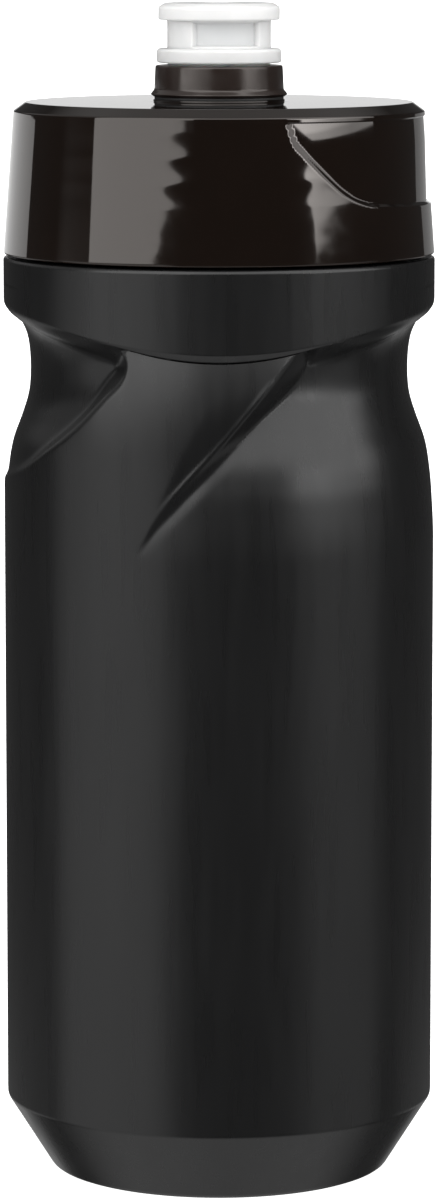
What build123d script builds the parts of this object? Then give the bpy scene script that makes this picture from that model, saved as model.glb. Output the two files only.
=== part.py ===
from build123d import *
import os

# Sports squeeze bottle with a screw lid and a push-pull drinking nozzle.
# Millimetres, +Z up, origin at the centre of the face that the bottle stands on. The front is -Y.
# The body is blow moulded: a turned form with a waist for the fingers. A raised panel bridges the
# waist at the front, and its mirror image at the back.

# Body
BODY_R = 36.75              # barrel radius, for a 74 mm bicycle bottle cage
BODY_WALL = 1.2
FOOT_IN_R = 21.5            # inner edge of the flat standing ring
FOOT_OUT_R = 28.2           # outer edge of the flat standing ring
FOOT_ROUND = 0.8            # height of the small slope at the ring's outer edge
PUSH_UP = 3.0               # rise of the base's centre
BASE_SEAM_Z = 12.4          # top of the sloping base
WAIST_LOW_Z = 109.5         # the barrel starts to narrow here
WAIST_MIN_Z = 138.5
WAIST_MIN_R = 31.85
WAIST_TOP_Z = 148.0         # the waist ends here, under the collar
WAIST_TOP_R = 34.3
COLLAR_TOP_Z = 157.4
COLLAR_EDGE_Z = 143.4       # lower edge of the collar at the front and back
COLLAR_EDGE_RISE = 5.2      # that edge is this much higher at the sides
PANEL_BOTTOM_Z = 106.0
PANEL_MIDDLE_Z = 132.0
PANEL_MIDDLE_R = 36.45
PANEL_TOP_Z = 148.0         # hidden inside the collar
PANEL_TOP_R = 35.75         # a panel leans in, so the collar stands proud of it

# Neck and screw thread
NECK_R = 31.8
NECK_WALL = 1.8
NECK_TOP_Z = 178.4
THREAD_PITCH = 4.2
THREAD_HEIGHT = 1.1
THREAD_ROOT_HALF = 0.9
THREAD_CREST_HALF = 0.45
THREAD_BITE = 0.3           # how far a thread's root reaches into its wall
NECK_THREAD_START_Z = 167.8
NECK_THREAD_TURNS = 1.75
LID_THREAD_DROP = 1.6       # the lid's thread runs this far under the neck's
LID_THREAD_TURNS = 2.75

# Lid
LID_BOTTOM_Z = 157.8
LID_BOTTOM_R = 36.65
LID_BEVEL_Z = 182.0
LID_BEVEL_R = 34.9
LID_TOP_Z = 183.5
LID_TOP_R = 32.9
LID_UNDERSIDE_Z = 180.9
LID_BORE_R = 33.3
LID_SKIRT_Z = 165.0         # below this the inside widens to the rim
LID_SKIRT_R = 34.75
RECESS_TOP_R = 34.8         # set-in part of the wall, at the bevel
RECESS_BOTTOM_R = 35.27     # set-in part of the wall, just above its step
RECESS_BOTTOM_Z = 166.0
RIB_IN_R = 26.4
RIB_OUT_R = 27.8
RIB_BOTTOM_Z = 176.6

# Spout in the middle of the lid
BOSS_R = 11.15
BOSS_TOP_Z = 183.9
SPOUT_HOLE_R = 10.55
TUBE_TOP_Z = 189.6
TUBE_TOP_R = 10.8
TUBE_FOOT_R = 11.05
TUBE_RING_R = 11.65
TUBE_RING_Z = 184.75
TUBE_SEAT_Z = 184.3
TUBE_LOWER_R = 10.45
TUBE_BOTTOM_Z = 171.5
TUBE_MOUTH_BORE_R = 8.75
TUBE_BORE_R = 9.3
TUBE_SHOULDER_Z = 184.6
SNAP_R = 10.85
SNAP_TOP_Z = 180.7
SNAP_BOTTOM_Z = 179.3

# Sealing pin
PIN_R = 3.0
PIN_TOP_Z = 199.3
SPIDER_R = 9.22
SPIDER_RING = 1.4
SPIDER_HEIGHT = 2.0
SPIDER_ARM = 1.8
SPIDER_ARMS = 3

# Sliding nozzle
NOZZLE_TRAVEL = 6.0
STEM_R = 8.6
STEM_BORE_R = 6.2
STEM_BOTTOM_Z = 174.6
LAND_R = 9.1
LAND_TOP_Z = TUBE_SHOULDER_Z - NOZZLE_TRAVEL - 0.1
SEAL_GROOVE_R = 7.5
SEAL_GROOVE_LOW_Z = 175.5
SEAL_GROOVE_TOP_Z = 177.5
SEAL_SECTION_R = 0.85
MOUTH_BOTTOM_Z = 190.0
CORE_R = 7.4
CORE_TOP_Z = 198.6
CORE_TOP_WALL = 1.4
CORE_HOLE_R = 4.2
KEY_R = 7.9
KEY_LOW_Z = 191.0
KEY_TOP_Z = 191.9
FLANGE_LOW_R = 10.55
FLANGE_LOW_TOP_Z = 192.4
MOUTH_WAIST_R = 8.8
FLANGE_TOP_R = 10.3
FLANGE_TOP_LOW_Z = 197.2
MOUTH_SIDE_TOP_Z = 199.4
MOUTH_TOP_Z = 200.1
MOUTH_TOP_EDGE_R = 9.4
MOUTH_HOLE_R = 3.12
POCKET_DEPTH = 0.9
POCKET_ANGLE = 83
POCKET_CENTRE = 10          # the pocket's middle, in degrees from the front towards +X
SOFT_FIT = 0.05             # gap between the mouthpiece and the core that carries it


def polygon_turned(points):
    """A solid turned about Z from a closed outline of (radius, height) points."""
    with BuildPart() as turned:
        with BuildSketch(Plane.XZ):
            with BuildLine():
                Polyline(*points, close=True)
            make_face()
        revolve(axis=Axis.Z)
    return turned.part


def body_core(skin, top_z):
    """The turned form of the body, skin millimetres inside its outer surface, up to top_z."""
    foot_slope_r = FOOT_OUT_R + FOOT_ROUND
    with BuildPart() as core:
        with BuildSketch(Plane.XZ):
            with BuildLine():
                ThreePointArc(
                    (0, PUSH_UP + skin),
                    (FOOT_IN_R / 2, PUSH_UP * 0.77 + skin),
                    (FOOT_IN_R - skin / 2, skin),
                )
                Line((FOOT_IN_R - skin / 2, skin), (FOOT_OUT_R - skin / 2, skin))
                Line(
                    (FOOT_OUT_R - skin / 2, skin),
                    (foot_slope_r - skin / 2, FOOT_ROUND + skin / 2),
                )
                Line(
                    (foot_slope_r - skin / 2, FOOT_ROUND + skin / 2),
                    (BODY_R - skin, BASE_SEAM_Z + skin / 4),
                )
                Line((BODY_R - skin, BASE_SEAM_Z + skin / 4), (BODY_R - skin, WAIST_LOW_Z))
                waist = Spline(
                    (BODY_R - skin, WAIST_LOW_Z),
                    (BODY_R - skin - 0.7, 121),
                    (BODY_R - skin - 2.65, 129.2),
                    (WAIST_MIN_R - skin, WAIST_MIN_Z),
                    (WAIST_TOP_R - skin, WAIST_TOP_Z),
                    tangents=((0, 1), (0.6, 1)),
                )
                Polyline(waist @ 1, (WAIST_TOP_R - skin, top_z), (0, top_z), (0, PUSH_UP + skin))
            make_face()
        revolve(axis=Axis.Z)
    return core.part


def body_collar(skin, top_z):
    """The collar above the waist, skin millimetres inside its surface, up to top_z."""
    side_x = BODY_R + 1
    edge_z = COLLAR_EDGE_Z + skin
    with BuildPart() as collar:
        with BuildSketch(Plane.XZ):
            with BuildLine():
                lower_edge = ThreePointArc(
                    (-side_x, edge_z + COLLAR_EDGE_RISE), (0, edge_z), (side_x, edge_z + COLLAR_EDGE_RISE)
                )
                Polyline(lower_edge @ 1, (side_x, top_z), (-side_x, top_z), lower_edge @ 0)
            make_face()
        extrude(amount=side_x, both=True)
        with BuildSketch(Plane.XY.offset(COLLAR_EDGE_Z)):
            Circle(BODY_R - skin)
        extrude(amount=top_z - COLLAR_EDGE_Z, mode=Mode.INTERSECT)
    return collar.part


def panel_form(skin):
    """The turned form of the panels: the barrel's radius at first, then leaning in to the collar."""
    with BuildPart() as form:
        with BuildSketch(Plane.XZ):
            with BuildLine():
                Polyline(
                    (BODY_R - skin, WAIST_LOW_Z),
                    (BODY_R - skin, PANEL_BOTTOM_Z),
                    (0, PANEL_BOTTOM_Z),
                    (0, PANEL_TOP_Z),
                    (PANEL_TOP_R - skin, PANEL_TOP_Z),
                )
                Spline(
                    (BODY_R - skin, WAIST_LOW_Z),
                    (PANEL_MIDDLE_R - skin, PANEL_MIDDLE_Z),
                    (PANEL_TOP_R - skin, PANEL_TOP_Z),
                    tangents=((0, 1), (-0.06, 1)),
                )
            make_face()
        revolve(axis=Axis.Z)
    return form.part


def body_panels(skin):
    """The raised front and back panels, skin millimetres inside their surface."""
    side_x = BODY_R + 1
    shift = 1.4 * skin          # the panel's edges slope, so they move further sideways
    form = panel_form(skin)
    with BuildPart() as panels:
        with BuildSketch(Plane.XZ):
            with BuildLine():
                left_edge = Spline(
                    (shift - 20.5, PANEL_TOP_Z),
                    (shift - 16, 139.8),
                    (shift - 22.5, 131.6),
                    (shift - 31, 124.8),
                    (shift - side_x, 118.7),
                )
                right_edge = Spline(
                    (17.5 - shift, PANEL_TOP_Z),
                    (5.7 - shift, 133.5),
                    (-6.7 - shift, 120.3),
                    (-13.9 - shift, 110.5),
                )
                Polyline(left_edge @ 0, right_edge @ 0)
                Polyline(
                    right_edge @ 1,
                    (-16.5 - shift, PANEL_BOTTOM_Z),
                    (shift - side_x, PANEL_BOTTOM_Z),
                    left_edge @ 1,
                )
            make_face()
        extrude(amount=side_x, both=True)
        add(form, mode=Mode.INTERSECT)
    return panels.part


def helical_thread(wall_r, outward, start_z, turns):
    """A right-hand trapezoidal thread on a wall of radius wall_r, standing out or in from it."""
    crest_r = wall_r + outward * THREAD_HEIGHT
    root_r = wall_r - outward * THREAD_BITE
    with BuildPart() as thread:
        with BuildLine(Plane.XY.offset(start_z)):
            path = Helix(THREAD_PITCH, THREAD_PITCH * turns, wall_r)
        with BuildSketch(Plane.XZ):
            Polygon(
                (root_r, start_z - THREAD_ROOT_HALF),
                (wall_r, start_z - THREAD_ROOT_HALF),
                (crest_r, start_z - THREAD_CREST_HALF),
                (crest_r, start_z + THREAD_CREST_HALF),
                (wall_r, start_z + THREAD_ROOT_HALF),
                (root_r, start_z + THREAD_ROOT_HALF),
                align=None,
            )
        sweep(path=path, is_frenet=True)
    return thread.part


def lid_recess():
    """The space between the set-in wall and the lid's outer cone, on the +X side."""
    outside = 40
    wall_slope = (RECESS_BOTTOM_R - RECESS_TOP_R) / (LID_BEVEL_Z - RECESS_BOTTOM_Z)
    tool_top_z = LID_TOP_Z + 1
    tool_low_z = RECESS_BOTTOM_Z - 2
    with BuildPart() as recess:
        with BuildSketch(Plane.XZ):
            with BuildLine():
                step_edge = Spline(
                    (11, LID_BEVEL_Z),
                    (13.8, 176),
                    (18, 171.5),
                    (22.6, 167.7),
                    (28.4, 166.7),
                    (outside, 166.2),
                )
                Polyline(step_edge @ 1, (outside, tool_top_z), (11, tool_top_z), step_edge @ 0)
            make_face()
        extrude(amount=outside, both=True)
        with BuildSketch(Plane.XZ):
            Polygon(
                (0, tool_low_z),
                (RECESS_TOP_R + wall_slope * (LID_BEVEL_Z - tool_low_z), tool_low_z),
                (RECESS_TOP_R, LID_BEVEL_Z),
                (RECESS_TOP_R, tool_top_z),
                (0, tool_top_z),
                align=None,
            )
        revolve(axis=Axis.Z, mode=Mode.SUBTRACT)
    return recess.part


# Body: the outer form less the same form one wall inside it, with a threaded neck
body_outer = body_core(0, COLLAR_TOP_Z) + body_collar(0, COLLAR_TOP_Z) + body_panels(0)
body_inner_top_z = COLLAR_TOP_Z - BODY_WALL
body_inner = (
    body_core(BODY_WALL, body_inner_top_z)
    + body_collar(BODY_WALL, body_inner_top_z)
    + body_panels(BODY_WALL)
)
neck_thread = helical_thread(NECK_R, 1, NECK_THREAD_START_Z, NECK_THREAD_TURNS)
with BuildPart() as bottle_body:
    add(body_outer)
    with BuildSketch(Plane.XY.offset(COLLAR_TOP_Z)):
        Circle(NECK_R)
    extrude(amount=NECK_TOP_Z - COLLAR_TOP_Z)
    add(neck_thread)
    add(body_inner, mode=Mode.SUBTRACT)
    with BuildSketch(Plane.XY.offset(COLLAR_TOP_Z - 2 * BODY_WALL)):
        Circle(NECK_R - NECK_WALL)
    extrude(amount=NECK_TOP_Z, mode=Mode.SUBTRACT)
bottle_body.part.label = "bottle_body"

# Lid: a cup with a set-in wall on its +X side, an inner thread, a gasket rib and the spout's hole
lid_thread = helical_thread(
    LID_BORE_R, -1, NECK_THREAD_START_Z - LID_THREAD_DROP, LID_THREAD_TURNS
)
lid_outer = polygon_turned(
    [
        (0, LID_BOTTOM_Z),
        (LID_BOTTOM_R, LID_BOTTOM_Z),
        (LID_BEVEL_R, LID_BEVEL_Z),
        (LID_TOP_R, LID_TOP_Z),
        (0, LID_TOP_Z),
    ]
)
lid_inner = polygon_turned(
    [
        (0, LID_BOTTOM_Z),
        (LID_SKIRT_R, LID_BOTTOM_Z),
        (LID_BORE_R, LID_SKIRT_Z),
        (LID_BORE_R, LID_UNDERSIDE_Z),
        (0, LID_UNDERSIDE_Z),
    ]
)
lid_set_in = lid_recess()
with BuildPart() as lid_shell:
    add(lid_outer)
    add(lid_set_in, mode=Mode.SUBTRACT)
    add(lid_inner, mode=Mode.SUBTRACT)
    add(lid_thread)
    with BuildSketch(Plane.XY.offset(RIB_BOTTOM_Z)):
        Circle(RIB_OUT_R)
        Circle(RIB_IN_R, mode=Mode.SUBTRACT)
    extrude(amount=LID_UNDERSIDE_Z - RIB_BOTTOM_Z)
    with BuildSketch(Plane.XY.offset(LID_TOP_Z)):
        Circle(BOSS_R)
    extrude(amount=BOSS_TOP_Z - LID_TOP_Z)
    with BuildSketch(Plane.XY.offset(LID_UNDERSIDE_Z)):
        Circle(SPOUT_HOLE_R)
    extrude(amount=BOSS_TOP_Z - LID_UNDERSIDE_Z, mode=Mode.SUBTRACT)
lid_shell.part.label = "lid_shell"

# Gasket: a flat ring on the neck's rim, with a lip that hangs inside the neck
GASKET_IN_R = RIB_OUT_R + 0.2
GASKET_OUT_R = LID_BORE_R - 0.3
GASKET_LIP_R = NECK_R - NECK_WALL - 0.4
GASKET_LIP_Z = RIB_BOTTOM_Z - 0.6
GASKET_GAP = 0.05
with BuildPart() as lid_gasket:
    with BuildSketch(Plane.XZ):
        Polygon(
            (GASKET_IN_R, GASKET_LIP_Z),
            (GASKET_LIP_R, GASKET_LIP_Z),
            (GASKET_LIP_R, NECK_TOP_Z + GASKET_GAP),
            (GASKET_OUT_R, NECK_TOP_Z + GASKET_GAP),
            (GASKET_OUT_R, LID_UNDERSIDE_Z - GASKET_GAP),
            (GASKET_IN_R, LID_UNDERSIDE_Z - GASKET_GAP),
            align=None,
        )
    revolve(axis=Axis.Z)
lid_gasket.part.label = "lid_gasket"

# Spout tube: a sleeve above the lid with a pointed ring, and a snap bead under the lid
with BuildPart() as spout_tube:
    with BuildSketch(Plane.XZ):
        Polygon(
            (TUBE_MOUTH_BORE_R, TUBE_TOP_Z),
            (TUBE_TOP_R, TUBE_TOP_Z),
            (TUBE_FOOT_R, TUBE_RING_Z + 0.8),
            (TUBE_RING_R, TUBE_RING_Z),
            (TUBE_FOOT_R, TUBE_SEAT_Z),
            (TUBE_LOWER_R, TUBE_SEAT_Z),
            (TUBE_LOWER_R, SNAP_TOP_Z),
            (SNAP_R, SNAP_TOP_Z),
            (TUBE_LOWER_R, SNAP_BOTTOM_Z),
            (TUBE_LOWER_R, TUBE_BOTTOM_Z),
            (TUBE_BORE_R, TUBE_BOTTOM_Z),
            (TUBE_BORE_R, TUBE_SHOULDER_Z),
            (TUBE_MOUTH_BORE_R, TUBE_SHOULDER_Z),
            align=None,
        )
    revolve(axis=Axis.Z)
spout_tube.part.label = "spout_tube"

# Spout seal: the flat ring squeezed between the tube's foot and the lid's boss
with BuildPart() as spout_seal:
    with BuildSketch(Plane.XY.offset(BOSS_TOP_Z)):
        Circle(TUBE_FOOT_R - 0.1)
        Circle(SPOUT_HOLE_R + 0.05, mode=Mode.SUBTRACT)
    extrude(amount=TUBE_SEAT_Z - BOSS_TOP_Z)
spout_seal.part.label = "spout_seal"

# Sealing pin: it stands on a spider in the tube's lower end and closes the nozzle's hole
with BuildPart() as plug_post:
    with BuildSketch(Plane.XY.offset(TUBE_BOTTOM_Z)):
        Circle(SPIDER_R)
        Circle(SPIDER_R - SPIDER_RING, mode=Mode.SUBTRACT)
        with PolarLocations(SPIDER_R / 2, SPIDER_ARMS):
            Rectangle(SPIDER_R - SPIDER_RING / 2, SPIDER_ARM)
    extrude(amount=SPIDER_HEIGHT)
    with BuildSketch(Plane.XY.offset(TUBE_BOTTOM_Z)):
        Circle(PIN_R)
    extrude(amount=PIN_TOP_Z - TUBE_BOTTOM_Z)
    chamfer(plug_post.edges().group_by(Axis.Z)[-1], length=0.5)
plug_post.part.label = "plug_post"

# Nozzle core: the stiff stem that slides in the tube and carries the soft mouthpiece
with BuildPart() as nozzle_core:
    with BuildSketch(Plane.XZ):
        Polygon(
            (STEM_BORE_R, STEM_BOTTOM_Z),
            (LAND_R, STEM_BOTTOM_Z),
            (LAND_R, SEAL_GROOVE_LOW_Z),
            (SEAL_GROOVE_R, SEAL_GROOVE_LOW_Z),
            (SEAL_GROOVE_R, SEAL_GROOVE_TOP_Z),
            (LAND_R, SEAL_GROOVE_TOP_Z),
            (LAND_R, LAND_TOP_Z),
            (STEM_R, LAND_TOP_Z),
            (STEM_R, MOUTH_BOTTOM_Z - SOFT_FIT),
            (CORE_R, MOUTH_BOTTOM_Z - SOFT_FIT),
            (CORE_R, KEY_LOW_Z),
            (KEY_R, KEY_LOW_Z),
            (KEY_R, KEY_TOP_Z),
            (CORE_R, KEY_TOP_Z),
            (CORE_R, CORE_TOP_Z),
            (CORE_HOLE_R, CORE_TOP_Z),
            (CORE_HOLE_R, CORE_TOP_Z - CORE_TOP_WALL),
            (STEM_BORE_R, CORE_TOP_Z - CORE_TOP_WALL),
            align=None,
        )
    revolve(axis=Axis.Z)
nozzle_core.part.label = "nozzle_core"

# Nozzle seal: the O-ring in the stem's groove, which drags on the tube's bore
SEAL_MIDDLE_R = TUBE_BORE_R - 0.03 - SEAL_SECTION_R
with BuildPart() as nozzle_seal:
    with BuildSketch(Plane.XZ):
        with Locations((SEAL_MIDDLE_R, (SEAL_GROOVE_LOW_Z + SEAL_GROOVE_TOP_Z) / 2)):
            Circle(SEAL_SECTION_R)
    revolve(axis=Axis.Z)
nozzle_seal.part.label = "nozzle_seal"

# Mouthpiece: a soft cap with two flanges and a pocket in the waist at the front and back
with BuildPart() as mouthpiece:
    with BuildSketch(Plane.XZ):
        Polygon(
            (CORE_R + SOFT_FIT, MOUTH_BOTTOM_Z),
            (FLANGE_LOW_R, MOUTH_BOTTOM_Z),
            (FLANGE_LOW_R, FLANGE_LOW_TOP_Z),
            (MOUTH_WAIST_R, FLANGE_LOW_TOP_Z),
            (MOUTH_WAIST_R, FLANGE_TOP_LOW_Z),
            (FLANGE_TOP_R, FLANGE_TOP_LOW_Z),
            (FLANGE_TOP_R, MOUTH_SIDE_TOP_Z),
            (MOUTH_TOP_EDGE_R, MOUTH_TOP_Z),
            (MOUTH_HOLE_R, MOUTH_TOP_Z),
            (MOUTH_HOLE_R, CORE_TOP_Z + SOFT_FIT),
            (CORE_R + SOFT_FIT, CORE_TOP_Z + SOFT_FIT),
            (CORE_R + SOFT_FIT, KEY_TOP_Z + SOFT_FIT),
            (KEY_R + SOFT_FIT, KEY_TOP_Z + SOFT_FIT),
            (KEY_R + SOFT_FIT, KEY_LOW_Z - SOFT_FIT),
            (CORE_R + SOFT_FIT, KEY_LOW_Z - SOFT_FIT),
            align=None,
        )
    revolve(axis=Axis.Z)
    for middle in (POCKET_CENTRE - 90, 90 - POCKET_CENTRE):
        sketch_plane = Plane.XY.offset(FLANGE_LOW_TOP_Z).rotated((0, 0, middle - POCKET_ANGLE / 2))
        with BuildSketch(sketch_plane):
            with BuildLine():
                inner = CenterArc((0, 0), MOUTH_WAIST_R - POCKET_DEPTH, 0, POCKET_ANGLE)
                outer = CenterArc((0, 0), MOUTH_WAIST_R + 0.5, 0, POCKET_ANGLE)
                Line(inner @ 0, outer @ 0)
                Line(inner @ 1, outer @ 1)
            make_face()
        extrude(amount=FLANGE_TOP_LOW_Z - FLANGE_LOW_TOP_Z, mode=Mode.SUBTRACT)
mouthpiece.part.label = "mouthpiece"

os.makedirs("parts", exist_ok=True)
pieces = [
    bottle_body,
    lid_shell,
    lid_gasket,
    spout_tube,
    spout_seal,
    plug_post,
    nozzle_core,
    nozzle_seal,
    mouthpiece,
]
for piece in pieces:
    export_step(piece.part, f"parts/{piece.part.label}.step")
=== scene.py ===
import math

import bmesh
import bpy
import numpy as np
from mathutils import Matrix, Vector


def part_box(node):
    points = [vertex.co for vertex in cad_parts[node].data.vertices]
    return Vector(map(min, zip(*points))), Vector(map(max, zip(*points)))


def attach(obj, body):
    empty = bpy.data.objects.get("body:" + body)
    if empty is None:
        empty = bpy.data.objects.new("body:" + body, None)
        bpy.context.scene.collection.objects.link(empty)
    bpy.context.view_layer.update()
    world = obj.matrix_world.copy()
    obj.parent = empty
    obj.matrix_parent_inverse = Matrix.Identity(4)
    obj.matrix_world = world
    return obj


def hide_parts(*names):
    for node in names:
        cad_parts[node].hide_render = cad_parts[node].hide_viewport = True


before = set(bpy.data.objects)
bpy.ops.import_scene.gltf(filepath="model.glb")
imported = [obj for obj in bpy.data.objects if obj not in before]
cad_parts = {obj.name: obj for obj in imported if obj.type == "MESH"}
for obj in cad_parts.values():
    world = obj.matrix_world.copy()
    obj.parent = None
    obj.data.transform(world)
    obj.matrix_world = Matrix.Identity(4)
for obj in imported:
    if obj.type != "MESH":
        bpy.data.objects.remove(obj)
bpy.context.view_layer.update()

# Lengths are millimetres until a mesh is made, as in the CAD model.
MM = 0.001


def box_mm(node):
    """The low and high corners of a CAD node's box."""
    low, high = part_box(node)
    return np.array(low) / MM, np.array(high) / MM


body_high = box_mm("bottle_body")[1]
lid_low = box_mm("lid_shell")[0]
tube_low, tube_high = box_mm("spout_tube")
gasket_low, gasket_high = box_mm("lid_gasket")
mouth_low, mouth_high = box_mm("mouthpiece")
pin_low, pin_high = box_mm("plug_post")
o_ring_low, o_ring_high = box_mm("nozzle_seal")
washer_low, washer_high = box_mm("spout_seal")

BODY_R = body_high[0]
NECK_TOP = body_high[2]
LID_BOTTOM = lid_low[2]
COLLAR_TOP = LID_BOTTOM - 0.4
NECK_R = 31.8
NECK_WALL = 1.8
PITCH = 4.2                 # of both threads
THREAD_DEPTH = 1.1
THREAD_HALF_WIDTH = 1.0


# ---------------------------------------------------------------- outlines and turned meshes

def rounded(corners, closed=False, steps=4, support=0.12):
    """Points of a (radius, height) outline whose corners are (radius, height, rounding).

    Each rounding has steps parts, and one more point a distance of support beyond each end.
    """
    count = len(corners)
    points = []
    for i, (r, z, rounding) in enumerate(corners):
        here = np.array([r, z], float)
        is_end = not closed and i in (0, count - 1)
        if is_end or rounding == 0:
            points.append(here)
            continue
        before = np.array(corners[i - 1][:2], float) - here
        after = np.array(corners[(i + 1) % count][:2], float) - here
        to_before = before / np.linalg.norm(before)
        to_after = after / np.linalg.norm(after)
        half_angle = math.acos(np.clip(to_before @ to_after, -1, 1)) / 2
        reach = rounding / math.tan(half_angle)
        bisector = (to_before + to_after) / np.linalg.norm(to_before + to_after)
        centre = here + bisector * rounding / math.sin(half_angle)
        start = here + to_before * reach
        end = here + to_after * reach
        points.append(start + to_before * support)
        for k in range(steps + 1):
            blend = (start - centre) * (1 - k / steps) + (end - centre) * k / steps
            points.append(centre + blend / np.linalg.norm(blend) * rounding)
        points.append(end + to_after * support)
    return points


def spaced(points, step):
    """The same outline with extra points, so that none is further than step from the next."""
    result = [np.array(points[0], float)]
    for point in points[1:]:
        gap = np.array(point, float) - result[-1]
        parts = max(1, math.ceil(np.linalg.norm(gap) / step))
        start = result[-1]
        result += [start + gap * k / parts for k in range(1, parts + 1)]
    return result


def row_heights(spans):
    """Heights of a mesh's rows, from (low, high, count) spans of evenly spaced ones."""
    return [
        z
        for low, high, count in spans
        for z in np.linspace(low, high, count, endpoint=False)
    ]


def turned_grid(points, segments, shape=None):
    """Radius and height of every point of an outline turned about Z, changed by shape."""
    angle = np.linspace(0, 2 * np.pi, segments, endpoint=False)[None, :]
    outline = np.array(points, float)
    r = outline[:, :1] + 0 * angle
    z = outline[:, 1:] + 0 * angle
    if shape:
        r, z = shape(angle + 0 * r, r, z)
    return r, z


def strip(first, second):
    """Faces between two rings of points, one of which may have twice as many as the other."""
    if len(first) == len(second):
        faces = [first, np.roll(first, -1), np.roll(second, -1), second]
        return np.stack(faces, axis=-1).tolist()
    coarse, fine = sorted((first, second), key=len)
    even = fine[::2]
    odd = fine[1::2]
    triangles = [
        (coarse, even, odd),
        (coarse, odd, np.roll(coarse, -1)),
        (np.roll(coarse, -1), odd, np.roll(even, -1)),
    ]
    return np.concatenate([np.stack(three, axis=-1) for three in triangles]).tolist()


def mesh_object(name, grids, closed):
    """An object made of turned grids joined one after another.

    An angle of 0 is the front, -Y, and it grows towards +X. A closed outline joins its last ring
    to its first. An open one starts and ends on the axis, and its end rings become single points.
    """
    points = []
    rings = []
    count = 0
    for r, z in grids:
        segments = r.shape[1]
        angle = np.linspace(0, 2 * np.pi, segments, endpoint=False)
        grid = np.stack([r * np.sin(angle), -r * np.cos(angle), z], axis=-1) * MM
        points.append(grid.reshape(-1, 3))
        for row in range(len(r)):
            rings.append(count + row * segments + np.arange(segments))
        count += r.size
    faces = []
    for first, second in zip(rings, rings[1:] + rings[:1] if closed else rings[1:]):
        faces += strip(first, second)
    mesh = bpy.data.meshes.new(name)
    mesh.from_pydata(np.concatenate(points), [], faces)
    obj = bpy.data.objects.new(name, mesh)
    bpy.context.scene.collection.objects.link(obj)
    clean(obj)
    return obj


def clean(obj):
    """Joins points that coincide, turns the faces outwards and shades the mesh smooth."""
    work = bmesh.new()
    work.from_mesh(obj.data)
    bmesh.ops.remove_doubles(work, verts=work.verts, dist=2e-7)
    bmesh.ops.recalc_face_normals(work, faces=work.faces)
    work.to_mesh(obj.data)
    work.free()
    obj.data.polygons.foreach_set("use_smooth", [True] * len(obj.data.polygons))
    obj.data.set_sharp_from_angle(angle=math.radians(48))
    obj.data.update()


def turned(name, corners, segments=192, step=2.0, steps=4, shape=None, closed=True):
    """A turned piece from rounded corners. shape may move the points."""
    points = rounded(corners, closed, steps)
    if closed:
        points = spaced(points + points[:1], step)[:-1]
    else:
        points = spaced(points, step)
    return mesh_object(name, [turned_grid(points, segments, shape)], closed)


def place(obj, body, node, material):
    """Puts a finished piece on its CAD body, in place of its CAD node."""
    obj.data.materials.clear()
    obj.data.materials.append(material)
    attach(obj, body)
    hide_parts(node)


# ---------------------------------------------------------------- shape functions

def ease(t):
    """0 below 0, 1 above 1, and smooth between."""
    t = np.clip(t, 0, 1)
    return t * t * t * (t * (6 * t - 15) + 10)


def smooth_max(a, b, k):
    """The larger of two surfaces, with a small fillet where they meet."""
    h = np.clip(0.5 + 0.5 * (a - b) / k, 0, 1)
    return b + (a - b) * h + k * h * (1 - h)


def ramp(distance, width, top_fillet, foot_fillet):
    """1 above a wall's edge and 0 beyond its foot, with a straight slope between the fillets."""
    t = 1 + distance / width
    t = -smooth_max(-t, -1.0, top_fillet / width)
    return smooth_max(t, 0.0, foot_fillet / width)


def cubic(t, start, leaving, end, arriving):
    """From start at t = 0 to end at t = 1, with the given slopes at the two ends."""
    return (
        (2 * t**3 - 3 * t**2 + 1) * start
        + (t**3 - 2 * t**2 + t) * leaving
        + (3 * t**2 - 2 * t**3) * end
        + (t**3 - t**2) * arriving
    )


def smooth_line(points, steps=10):
    """Points of a smooth line through the given (x, y) ones, straight beyond its ends."""
    given = np.array(points, float)
    padded = np.vstack([2 * given[0] - given[1], given, 2 * given[-1] - given[-2]])
    line = []
    for before, here, after, next_after in zip(padded, padded[1:], padded[2:], padded[3:]):
        leaving = (after - before) / 2
        arriving = (next_after - here) / 2
        for t in np.arange(steps) / steps:
            line.append(cubic(t, here, leaving, after, arriving))
    return np.array(line + [given[-1]])


def beside(line, x, y):
    """How far points lie to the left of a line as it runs, or to its right if negative."""
    nearest = np.full(np.shape(x), np.inf)
    side = np.zeros(np.shape(x))
    for start, end in zip(line, line[1:]):
        run = end - start
        length = np.hypot(*run)
        along = ((x - start[0]) * run[0] + (y - start[1]) * run[1]) / length**2
        along = np.clip(along, 0, 1)
        off_x = x - start[0] - along * run[0]
        off_y = y - start[1] - along * run[1]
        distance = np.hypot(off_x, off_y)
        closer = distance < nearest - 1e-9
        nearest = np.where(closer, distance, nearest)
        across = (run[0] * (y - start[1]) - run[1] * (x - start[0])) / length
        side = np.where(closer, np.sign(across), side)
    return nearest * side


def curve_through(points):
    """A smooth function through (x, y) points, straight beyond both ends."""
    xs = np.array([p[0] for p in points], float)
    ys = np.array([p[1] for p in points], float)
    slopes = np.gradient(ys, xs)

    def value(x):
        i = np.clip(np.searchsorted(xs, x) - 1, 0, len(xs) - 2)
        width = xs[i + 1] - xs[i]
        t = np.clip((x - xs[i]) / width, 0, 1)
        inside = cubic(t, ys[i], width * slopes[i], ys[i + 1], width * slopes[i + 1])
        beyond = slopes[0] * np.minimum(x - xs[0], 0) + slopes[-1] * np.maximum(x - xs[-1], 0)
        return inside + beyond

    return value


def slope_of(curve, x):
    return (curve(x + 0.05) - curve(x - 0.05)) / 0.1


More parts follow.
